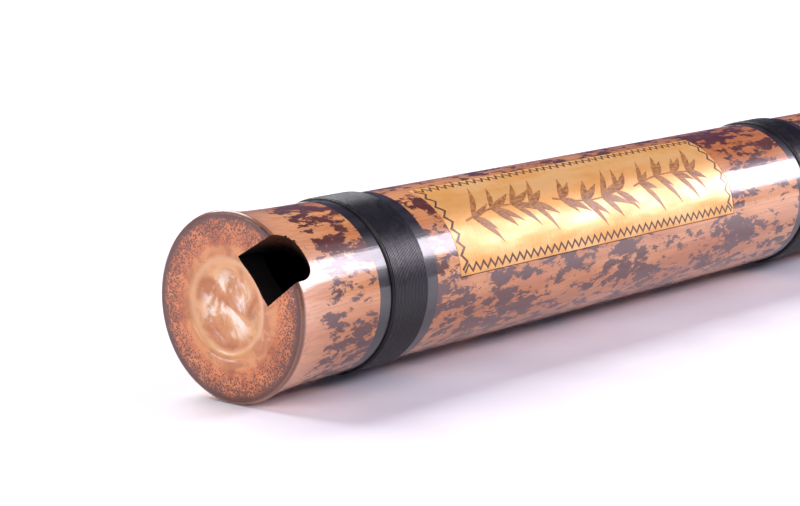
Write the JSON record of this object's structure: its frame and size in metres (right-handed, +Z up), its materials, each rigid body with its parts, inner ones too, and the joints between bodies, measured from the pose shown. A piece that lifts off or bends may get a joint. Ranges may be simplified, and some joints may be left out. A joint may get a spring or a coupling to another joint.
{
  "type": "xiao",
  "caption": "End-blown notch flute of mottled bamboo, closed by a natural node at the top, with thread bindings, finger and thumb holes and a gilt panel.",
  "frame": {"origin": "on the table, under the middle of the tube's length", "axes": "+X down the tube from the blowing end to the foot, +Z up; the front with the notch and finger holes looks up and to -Y"},
  "size_m": [0.745, 0.027, 0.0269],
  "materials": {
    "mottled_bamboo": "clear gloss lacquer",
    "gilt_foil": "bright foil",
    "black_nylon_thread": "satin, wound tight"
  },
  "bodies": {
    "root": {"bamboo_culm": "mottled_bamboo", "gilt_panel": "gilt_foil", "thread_winding_01": "black_nylon_thread", "thread_winding_02": "black_nylon_thread", "thread_winding_03": "black_nylon_thread", "thread_winding_04": "black_nylon_thread", "thread_winding_05": "black_nylon_thread", "thread_winding_06": "black_nylon_thread", "thread_winding_07": "black_nylon_thread", "thread_winding_08": "black_nylon_thread", "thread_winding_09": "black_nylon_thread", "thread_winding_10": "black_nylon_thread"}
  },
  "joints": []
}
